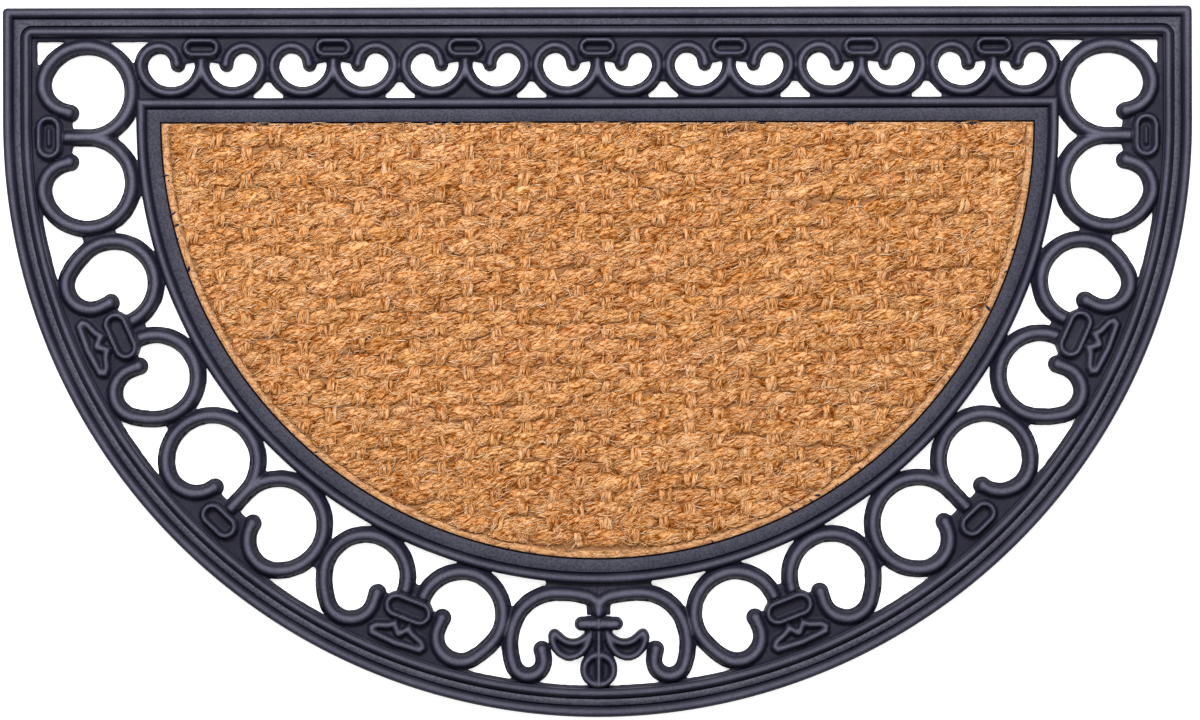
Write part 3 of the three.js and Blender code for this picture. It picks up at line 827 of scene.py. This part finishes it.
# the pressed edge's width, and its share along the straight side
BORDER, TOP_SHARE = 4.6, 0.25
WEAVE_R = EDGE - BORDER
ROW, ROW_AT = 8.63, 88.6
COLUMN, COLUMN_AT = 17.4, 5.5
PANEL_BOTTOM, BASE_TOP = 2.5, 6.0
TWIST = 0.056
SWAY = 1.3


def straight_edge(inset):
    return CENTRE_Y - PANEL_GAP - TOP_SHARE * inset


WEAVE_TOP = straight_edge(BORDER)


def hold_in(points, radius, top):
    """Draw in what lies past a radius or the top."""
    x, y, z = points[..., 0], np.minimum(points[..., 1], top), points[..., 2]
    shrink = np.minimum(1, radius / np.hypot(x, y - CENTRE_Y))
    return np.stack([x * shrink, CENTRE_Y + (y - CENTRE_Y) * shrink, z], -1)


def keep_in(points, margin=-0.5):
    """Draw in what would lie over the pressed border."""
    return hold_in(points, WEAVE_R + margin, WEAVE_TOP + margin)


def set_coir(o, tone, warmth):
    set_attribute(o, "tone", tone)
    set_attribute(o, "warmth", warmth)


# the ground of the panel: a plate with its edge pressed flat, and the weave's floor inside it
GROUND_PROFILE = [
    (0.0, PANEL_BOTTOM), (0.0, 6.3), (0.4, 6.9), (2.2, 7.1), (3.7, 6.9), (4.4, 6.4), (4.8, 5.6),
    (5.4, 5.6), (6.4, BASE_TOP), (60.0, BASE_TOP),
]
GROUND_ARC, GROUND_CHORD, PRESSED_FROM = 361, 120, 6.2
rings = []
arc = np.linspace(0, 1, GROUND_ARC)
for d, z in GROUND_PROFILE:
    r = EDGE - d
    dip = asin((PANEL_GAP + TOP_SHARE * d) / r)
    around = pi + dip + (pi - 2 * dip) * arc
    curve = np.column_stack([r * np.cos(around), CENTRE_Y + r * np.sin(around)])
    chord_x = np.linspace(curve[-1, 0], curve[0, 0], GROUND_CHORD + 2)[1:-1]
    chord = np.column_stack([chord_x, np.full(GROUND_CHORD, straight_edge(d))])
    loop = np.vstack([curve, chord])
    rings.append(np.column_stack([loop, np.full(len(loop), z)]))
count, levels = len(rings[0]), len(GROUND_PROFILE)
middle = np.array([[0.0, 60.0, PANEL_BOTTOM], [0.0, 60.0, BASE_TOP]])
base_points = np.concatenate(rings + [middle])
quads = np.concatenate([strip(count, j * count, (j + 1) * count) for j in range(levels - 1)])
tris = np.concatenate([
    fan(count, 0, levels * count)[:, [1, 0, 2]],
    fan(count, (levels - 1) * count, levels * count + 1),
])
base = new_mesh("coir_ground", base_points, [quads, tris], COIR_PRESSED)
# painted shade: the weave's floor, seen only between the yarns, is painted dark; the pressed edge
# has its own lighter tone
pressed = base_points[:, 2] > PRESSED_FROM
set_coir(base, np.where(pressed, 0.45, 0.2), np.where(pressed, 0.85, 0.4))


def wander(x, k, size):
    """A slow, smooth sway of a row or a column."""
    return size * (np.sin(x / 47 + k * 1.7) + 0.6 * np.sin(x / 19 + k * 3.1)) / 1.6


ROWS, COLUMNS = range(-25, 8), range(-17, 18)
SHORTEST_ROW, SHORTEST_FLOAT, FLOAT_REACH, STITCH_ROOM = 20, 5, 14.6, 2
floats, stitches = [], []
for k in ROWS:
    y = ROW_AT + ROW * k
    reach = WEAVE_R ** 2 - (y - CENTRE_Y) ** 2
    if reach <= SHORTEST_ROW ** 2:
        continue
    reach = sqrt(reach)
    for c in COLUMNS:
        x = c * COLUMN + COLUMN_AT
        if (c + k) % 2:
            left, right = max(x - FLOAT_REACH, -reach), min(x + FLOAT_REACH, reach)
            if right - left > SHORTEST_FLOAT:
                floats.append(((left + right) / 2, y, (right - left) / 2, k))
        elif abs(x) < reach - STITCH_ROOM:
            stitches.append((x, y, k))
floats, stitches = np.array(floats), np.array(stitches)
many, few = len(floats), len(stitches)
floats[:, 1] += wander(floats[:, 0], floats[:, 3], SWAY) + rng.normal(0, 0.7, many)
stitches[:, 1] += wander(stitches[:, 0], stitches[:, 2], SWAY) + rng.normal(0, 0.4, few)
sideways = wander(stitches[:, 1], stitches[:, 0] / COLUMN, 0.9)
stitches[:, 0] += sideways + rng.normal(0, 0.5, few)

# every float has its own tone, warmth, half width, height, tilt and twist
float_tone = rng.normal(0.0, 0.03, many)
float_warm = np.clip(rng.normal(0.38, 0.15, many), 0, 1)
float_half = rng.normal(6.3, 0.5, many)
float_rise = rng.normal(2.75, 0.28, many)
float_tilt = rng.normal(0.035, 0.05, many)
float_phase = rng.uniform(0, 2 * pi, many)
# a float narrows and sinks towards its ends: what is left there, and how fast that comes
PLIES, PLY_DEPTH, END_POWER = 3, 0.2, 2.1
END_WIDE, WIDE_POWER = 0.3, 0.72
END_TALL, TALL_POWER = 0.12, 0.7


def ply_wave(f, x, angle):
    """The three plies' rise and fall round and along a float."""
    return np.cos(PLIES * (angle + TWIST * (x - floats[f, 0])) + float_phase[f])


def on_float(f, x, angle, lift):
    """A point over float f: at x along the row, at an angle round the yarn, lifted off it."""
    u = np.clip((x - floats[f, 0]) / floats[f, 2], -1, 1)
    ends = np.clip(1 - np.abs(u) ** END_POWER, 0, 1)
    ply = PLY_DEPTH * ply_wave(f, x, angle)
    wide = float_half[f] * (END_WIDE + (1 - END_WIDE) * ends ** WIDE_POWER) + ply + lift
    swell = END_TALL + (1 - END_TALL) * ends ** TALL_POWER
    tall = float_rise[f] * swell + ply * (0.3 + ends) + lift
    y = floats[f, 1] + float_tilt[f] * (x - floats[f, 0]) + wide * np.cos(angle)
    z = BASE_TOP + tall * np.sin(angle)
    return np.stack(np.broadcast_arrays(x, y, z), -1)


def tube_faces(tubes, along, around):
    """Side faces and end caps of many closed tubes, each of along rings with around points."""
    first = np.arange(tubes)[:, None, None] * along * around
    low = first + np.arange(along - 1)[None, :, None] * around
    i = np.arange(around)[None, None, :]
    n = (i + 1) % around
    quad = np.stack([low + i, low + around + i, low + around + n, low + n], -1)
    start = first[:, 0] + np.arange(around)[None, :]
    final = first[:, 0] + (along - 1) * around + np.arange(around)[None, ::-1]
    return quad.reshape(-1, 4), np.concatenate([start, final])


# bodies of the floats: one yarn of three plies each, of which the upper side is modelled
AROUND, ALONG = 11, 10
BODY_TONE = 0.46
f = np.arange(many)[:, None, None]
x = floats[f, 0] + floats[f, 2] * np.linspace(-1, 1, ALONG)[None, :, None]
angle = np.radians(np.linspace(-20, 200, AROUND))[None, None, :]
body = keep_in(on_float(f, x, angle, -0.25).reshape(-1, 3))
weft = new_mesh("coir_weft", body, list(tube_faces(many, ALONG, AROUND)), COIR_WEFT)
# painted light and shade: the body is painted lighter on its plies' crests, darker in the grooves
# between them, and darker towards its ends, where it dives under the stitches
ends = np.abs(np.linspace(-1, 1, ALONG))[None, :, None] ** 4
tone = BODY_TONE + float_tone[f] + 0.06 * ply_wave(f, x, angle) - 0.15 * ends
set_coir(weft, tone, float_warm[f] + 0 * tone)

# bodies of the stitches: three thin warp yarns side by side
S_AROUND, S_ALONG = 7, 5
STITCH_YARNS = [-2.3, 0.0, 2.3]
YARN_REACH, YARN_SPAN = 5.2, 5.4
yarns = np.repeat(stitches[:, :2], len(STITCH_YARNS), axis=0)
yarns[:, 0] += np.tile(STITCH_YARNS, few) + rng.normal(0, 0.35, len(yarns))
yarns[:, 1] += rng.normal(0, 0.6, len(yarns))
yarn_tone = rng.normal(0.04, 0.06, len(yarns))
yarn_warm = np.clip(rng.normal(0.4, 0.16, len(yarns)), 0, 1)
yarn_lean = np.repeat(rng.normal(0, 0.12, few), len(STITCH_YARNS))
yarn_lean = yarn_lean + rng.normal(0, 0.1, len(yarns))
yarn_rise = rng.normal(1.1, 0.35, len(yarns))


def yarn_hump(along):
    return np.clip(1 - (along / YARN_SPAN) ** 2, 0, 1)


def on_yarn(f, along, across, lift):
    """A point over stitch yarn f: at a distance along it from its middle, and across it."""
    top = np.sqrt(np.clip(1 - (across / 1.5) ** 2, 0, 1))
    x = yarns[f, 0] + yarn_lean[f] * along + across
    y = yarns[f, 1] + along
    z = BASE_TOP + 0.4 + yarn_rise[f] * yarn_hump(along) + 1.1 * top + lift
    return np.stack(np.broadcast_arrays(x, y, z), -1)


s = np.arange(len(yarns))[:, None, None]
along = np.linspace(-YARN_REACH, YARN_REACH, S_ALONG)[None, :, None]
angle = np.linspace(0, 2 * pi, S_AROUND, endpoint=False)[None, None, :]
ends = yarn_hump(along)
body = np.stack(np.broadcast_arrays(
    yarns[s, 0] + yarn_lean[s] * along + 1.4 * np.cos(angle),
    yarns[s, 1] + along,
    BASE_TOP + 0.3 + yarn_rise[s] * ends + 1.0 * np.sin(angle),
), -1)
quad, cap = tube_faces(len(yarns), S_ALONG, S_AROUND)
body = keep_in(body.reshape(-1, 3))
warp = new_mesh("coir_warp", body, [quad[:, ::-1], cap[:, ::-1]], COIR_WARP)
# painted shade: the stitch's yarns are painted darker towards their ends, where they dive under the
# floats
tone = BODY_TONE + yarn_tone[s] - 0.2 * (1 - ends) + 0 * angle
set_coir(warp, tone, yarn_warm[s] + 0 * tone)

HAIR_SIDES = [90, 210, 330]
CELL_MARGIN, CELL_FILL = 0.08, 0.84


def fibres(name, paths, radius, tone, warmth, material=COIR_WEFT):
    """Thin three-sided hairs along paths, as one mesh, each with its own cell of the UV map."""
    count, along = paths.shape[:2]
    tangent = np.gradient(paths, axis=1)
    tangent /= np.linalg.norm(tangent, axis=2, keepdims=True) + 1e-9
    across = np.cross(tangent, np.array([0, 0, 1.0]))
    across /= np.linalg.norm(across, axis=2, keepdims=True) + 1e-9
    up = np.cross(across, tangent)
    taper = np.linspace(-1, 1, along)
    size = (radius[:, None] * (0.4 + 0.6 * (1 - taper ** 4))[None, :])[..., None]
    ring = [
        paths + size * (cos(angle) * across + sin(angle) * up)
        for angle in np.radians(HAIR_SIDES)
    ]
    points = np.stack(ring, 2).reshape(-1, 3)
    quad, cap = tube_faces(count, along, 3)
    o = new_mesh(name, points, [quad[:, ::-1], cap[:, ::-1]], material)
    set_coir(o, np.repeat(tone, along * 3), np.repeat(warmth, along * 3))
    cells = ceil(sqrt(count))
    cell = np.arange(count)
    u0, v0 = (cell % cells) / cells, (cell // cells) / cells
    j = np.repeat(np.arange(along - 1), 3)
    i = np.tile([0, 1, 2], along - 1)
    corner_u = np.stack([j, j + 1, j + 1, j], -1)[:, ::-1] / (along - 1)
    corner_v = np.stack([i, i, i + 1, i + 1], -1)[:, ::-1] / 3
    side_u = u0[:, None, None] + (CELL_MARGIN + CELL_FILL * corner_u[None]) / cells
    side_v = v0[:, None, None] + (CELL_MARGIN + CELL_FILL * corner_v[None]) / cells
    sides = np.stack([side_u, side_v], -1).reshape(-1, 2)
    cap_u = np.tile(np.array([0.02, 0.06, 0.04]), (2 * count, 1))
    cap_v = np.tile(np.array([0.02, 0.02, 0.06]), (2 * count, 1))
    u1, v1 = np.tile(u0, 2)[:, None], np.tile(v0, 2)[:, None]
    caps = np.stack([u1 + cap_u / cells, v1 + cap_v / cells], -1).reshape(-1, 2)
    uv = o.data.uv_layers.new(name="OFBake")
    uv.data.foreach_set("uv", np.concatenate([sides, caps]).astype(np.float32).ravel())
    return o


def float_fibres(name, per_float, seed):
    """Strands that wind round the floats with their twist."""
    draw = np.random.default_rng(seed)
    f = np.repeat(np.arange(many), per_float)
    total = len(f)
    t = np.linspace(-1, 1, 4)[None, :]
    x0 = floats[f, 0] + floats[f, 2] * draw.uniform(-0.95, 0.95, total)
    half = draw.uniform(2.2, 5.2, total)
    x = x0[:, None] + half[:, None] * t
    low, high = floats[f, 0] - floats[f, 2] - 0.5, floats[f, 0] + floats[f, 2] + 0.5
    x = np.clip(x, low[:, None], high[:, None])
    start = np.arccos(draw.uniform(-0.98, 0.98, total))
    turn = draw.normal(TWIST, 0.1, total)
    curl = draw.normal(0, 0.28, total)
    angle = start[:, None] - turn[:, None] * (x - x0[:, None]) + curl[:, None] * (t ** 2 - 0.4)
    angle = np.clip(angle, 0.03, pi - 0.03)
    lift = draw.uniform(-0.15, 0.2, total)[:, None]
    lift = lift + draw.uniform(-0.1, 0.3, total)[:, None] * np.abs(t) ** 3
    strand = np.cos(14 * (start + TWIST * (x0 - floats[f, 0])) + float_phase[f])
    paths = on_float(f[:, None], x, angle, lift + 0.12 * strand[:, None])
    # painted light: strands that stand higher off the float are painted lighter
    tone = 0.49 + float_tone[f] + 0.06 * strand + draw.normal(0, 0.14, total)
    warmth = float_warm[f] + draw.normal(0, 0.09, total)
    return fibres(name, keep_in(paths), draw.uniform(0.28, 0.62, total), tone, warmth)


def stitch_fibres(name, per_yarn, seed):
    """Strands that lie along the stitches' yarns."""
    draw = np.random.default_rng(seed)
    f = np.repeat(np.arange(len(yarns)), per_yarn)
    total = len(f)
    t = np.linspace(-1, 1, 4)[None, :]
    reach = draw.uniform(2.0, 5.0, total)[:, None]
    along = np.clip(draw.normal(0, 1.8, total)[:, None] + reach * t, -6.4, 6.4)
    across = draw.uniform(-1.6, 1.6, total)[:, None]
    across = across + draw.normal(0.08, 0.2, total)[:, None] * along
    lift = draw.uniform(-0.1, 0.3, total)[:, None]
    paths = on_yarn(f[:, None], along, np.clip(across, -2.2, 2.2), lift)
    tone = 0.48 + yarn_tone[f] + draw.normal(0, 0.14, total)
    warmth = yarn_warm[f] + draw.normal(0, 0.09, total)
    radius = draw.uniform(0.24, 0.48, total)
    return fibres(name, keep_in(paths), radius, tone, warmth, COIR_WARP)


WEFT_RISE, WEFT_HALF = 2.6, 5.6
STITCH_RISE, STITCH_HALF = 2.3, 4.2


def weave_height(x, y):
    """About how high the weave stands at a point on the plan."""
    k = np.round((y - ROW_AT) / ROW)
    dy = y - ROW_AT - ROW * k - wander(x, k, SWAY)
    c = np.round((x - COLUMN_AT) / COLUMN)
    over = WEFT_RISE * np.sqrt(np.clip(1 - (dy / WEFT_HALF) ** 2, 0.05, 1))
    stitch = ((c + k) % 2 == 0) & (np.abs(x - COLUMN_AT - c * COLUMN) < STITCH_HALF)
    return BASE_TOP + np.where(stitch, STITCH_RISE, over)


def scatter(draw, total, inward=0, below=0):
    """Points spread evenly over the weave, some way in from its edges."""
    bearing = draw.uniform(pi, 2 * pi, total)
    out = WEAVE_R * np.sqrt(draw.uniform(0, 1, total)) - inward
    y = np.minimum(CENTRE_Y + out * np.sin(bearing), WEAVE_TOP - below)
    return out * np.cos(bearing), y


def bent(x0, y0, heading, bend, length):
    """Bent lines of four points, from their middles, headings, bends and lengths."""
    t = np.linspace(-0.5, 0.5, 4)[None, :]
    path = heading[:, None] + bend[:, None] * t
    x = x0[:, None] + np.cos(path) * length[:, None] * t
    return x, y0[:, None] + np.sin(path) * length[:, None] * t


def fuzz_fibres(name, total, seed):
    """Short hairs that stand out of the yarns and bridge from one to the next."""
    draw = np.random.default_rng(seed)
    x0, y0 = scatter(draw, total)
    heading = draw.normal(0.3, 0.45, total)
    steep = draw.uniform(0, 1, total) < 0.22
    heading = np.where(steep, draw.uniform(-0.6, 2.6, total), heading)
    length = draw.uniform(4.0, 11.0, total)
    x, y = bent(x0, y0, heading, draw.normal(0, 0.9, total), length)
    under = weave_height(x, y)
    z = 0.7 * under + 0.3 * under.max(1, keepdims=True) + draw.uniform(0.0, 0.45, total)[:, None]
    tone = draw.normal(0.5, 0.17, total)
    paths = keep_in(np.stack([x, y, z], -1), 0.3)
    radius = draw.uniform(0.2, 0.44, total)
    return fibres(name, paths, radius, tone, draw.uniform(0, 0.8, total))


def stray_fibres(name, total, seed):
    """Loose hairs that lie across the weave in open curves."""
    draw = np.random.default_rng(seed)
    x0, y0 = scatter(draw, total, 4, 2)
    heading = draw.normal(0.4, 0.9, total)
    length = draw.gamma(3.0, 3.0, total) + 4
    turn = draw.normal(0, 1.2, total)
    steps = 6
    t = np.linspace(-0.5, 0.5, steps)[None, :]
    path = heading[:, None] + turn[:, None] * t
    x = x0[:, None] + np.cumsum(np.cos(path), 1) * (length / steps)[:, None]
    y = y0[:, None] + np.cumsum(np.sin(path), 1) * (length / steps)[:, None]
    z = 8.7 + draw.uniform(-0.7, 0.3, total)[:, None] + 0.3 * np.sin(3 * t + heading[:, None])
    tone = draw.normal(0.6, 0.17, total)
    paths = keep_in(np.stack([x, y, z], -1), 1.5)
    radius = draw.uniform(0.12, 0.24, total)
    return fibres(name, paths, radius, tone, draw.uniform(0, 0.6, total))


def border_fibres(name, total, seed):
    """Hairs pressed flat into the panel's edge."""
    draw = np.random.default_rng(seed)
    run = pi * EDGE
    s = draw.uniform(0, run + 2 * EDGE, total)
    inset = draw.uniform(0.5, BORDER - 0.2, total)
    on_arc = s < run
    bearing = pi + s / EDGE
    x0 = np.where(on_arc, (EDGE - inset) * np.cos(bearing), s - run - EDGE)
    y_arc = CENTRE_Y + (EDGE - inset) * np.sin(bearing)
    y0 = np.where(on_arc, y_arc, straight_edge(inset))
    heading = np.where(on_arc, bearing + pi / 2, 0) + draw.normal(0, 0.5, total)
    length = draw.uniform(3, 9, total)
    x, y = bent(x0, y0, heading, draw.normal(0, 0.8, total), length)
    z = 7.05 + draw.uniform(-0.1, 0.25, total)[:, None] + 0 * x
    tone = draw.normal(0.5, 0.22, total)
    paths = hold_in(np.stack([x, y, z], -1), EDGE - 0.4, CENTRE_Y - 0.7)
    radius = draw.uniform(0.18, 0.34, total)
    return fibres(name, paths, radius, tone, draw.uniform(0.3, 1, total), COIR_PRESSED)


hairs = [
    float_fibres("coir_hair_a", 21, 31),
    float_fibres("coir_hair_b", 21, 32),
    stitch_fibres("coir_hair_c", 4, 33),
    fuzz_fibres("coir_hair_d", 5850, 36),
    stray_fibres("coir_hair_e", 900, 34),
    border_fibres("coir_hair_f", 2100, 35),
]

SCRAP_POINTS, SCRAPS_ON_TOP = 9, 34
# bearings from and to, and how many; then sizes and heights
SCRAPS_ON_ARC = [(181, 200, 8), (215, 345, 14)]
SCRAP_RINGS = [(1.0, 6.8), (1.0, 7.25), (0.7, 7.45)]


def scraps(name, seed):
    """Thin scraps of rubber that crept over the panel's edge when the two were pressed together;
    along the straight side they also stand in for dark shade at the panel's edge.
    """
    draw = np.random.default_rng(seed)
    places = []
    for x in draw.uniform(-268, 268, SCRAPS_ON_TOP):
        y = CENTRE_Y - 0.5 - abs(draw.normal(0, 0.9))
        places.append((x, y, draw.normal(0, 0.25), draw.gamma(2.5, 0.75) + 0.6))
    bearings = np.concatenate([draw.uniform(*row) for row in SCRAPS_ON_ARC])
    for bearing in np.radians(bearings):
        r = EDGE - 0.6 - abs(draw.normal(0, 0.7))
        places.append((r * cos(bearing), CENTRE_Y + r * sin(bearing),
                       bearing + draw.normal(0, 0.5), draw.gamma(2.0, 0.5) + 0.5))
    points, sides, caps = [], [], []
    ring = np.arange(SCRAP_POINTS)
    angle = ring * 2 * pi / SCRAP_POINTS
    for x, y, heading, long in places:
        wide = 0.45 + 0.2 * long * draw.uniform(0.5, 1.1)
        size = draw.uniform(0.7, 1.25, SCRAP_POINTS)
        px, py = long * size * np.cos(angle), wide * size * np.sin(angle)
        c, s = cos(heading), sin(heading)
        wx, wy = x + c * px - s * py, np.minimum(y + s * px + c * py, CENTRE_Y - 0.35)
        first = len(points) * SCRAP_POINTS
        for scale, z in SCRAP_RINGS:
            points.append(np.column_stack([
                x + (wx - x) * scale, y + (wy - y) * scale, np.full(SCRAP_POINTS, z),
            ]))
        second, third = first + SCRAP_POINTS, first + 2 * SCRAP_POINTS
        sides += [strip(SCRAP_POINTS, first, second), strip(SCRAP_POINTS, second, third)]
        caps += [first + ring[::-1], third + ring]
    return new_mesh(name, np.concatenate(points), [np.concatenate(sides), np.array(caps)], RUBBER)


edge_scraps = scraps("rubber_scraps", 40)

# ---- attach to the root body, and hide the part's meshes -------------------------------------
for o in (rims, scrolls, edge_scraps):
    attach(o, "root")
    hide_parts("rubber_surround")
for o in (base, weft, warp, *hairs):
    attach(o, "root")
    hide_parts("coir_panel")

# ---- floor, light and camera -----------------------------------------------------------------
FLOOR_HALF, FLOOR_Z = 4000, -0.3
WORLD_STRENGTH = 0.5
LENS, SENSOR = 90, 36
WIDTH_SEEN = 0.7585
CAMERA_X, CAMERA_Y, CAMERA_ROLL = 0.0012, 0.0012, -0.14

floor_mat = Tree("floor_plain")
for socket, value in {
    "Base Color": (0.86, 0.86, 0.86, 1), "Roughness": 0.9,
    "Emission Color": (1, 1, 1, 1), "Emission Strength": 0.6,
}.items():
    floor_mat.shader.inputs[socket].default_value = value
floor_points = np.array([
    (FLOOR_HALF * sx, FLOOR_HALF * sy, FLOOR_Z) for sx, sy in ((-1, -1), (1, -1), (1, 1), (-1, 1))
])
floor = new_mesh("floor", floor_points, [np.array([[0, 1, 2, 3]])], floor_mat.material, False)

world = bpy.data.worlds.new("world")
bpy.context.scene.world = world
world.use_nodes = True
background = world.node_tree.nodes["Background"]
background.inputs["Color"].default_value = (1, 1, 1, 1)
background.inputs["Strength"].default_value = WORLD_STRENGTH


def area_light(name, place, size, power):
    """A rectangular light in watts that looks at the middle of the mat."""
    light = bpy.data.lights.new(name, "AREA")
    light.shape = "RECTANGLE"
    light.size, light.size_y = size
    light.energy = power
    o = add_object(name, light)
    o.location = place
    direction = mathutils.Vector([-v for v in place])
    o.rotation_euler = direction.to_track_quat("-Z", "Y").to_euler()


area_light("key", (-0.2, 1.25, 1.8), (1.5, 0.6), 84)
area_light("fill", (0.3, -0.9, 2.0), (1.4, 0.6), 6)

camera_data = bpy.data.cameras.new("camera")
camera = add_object("camera", camera_data)
camera_data.lens = LENS
camera_data.sensor_width = SENSOR
camera.location = (CAMERA_X, CAMERA_Y, WIDTH_SEEN * LENS / SENSOR)
camera.rotation_euler = (0, 0, radians(CAMERA_ROLL))
bpy.context.scene.camera = camera
bpy.context.scene.view_settings.view_transform = "Standard"
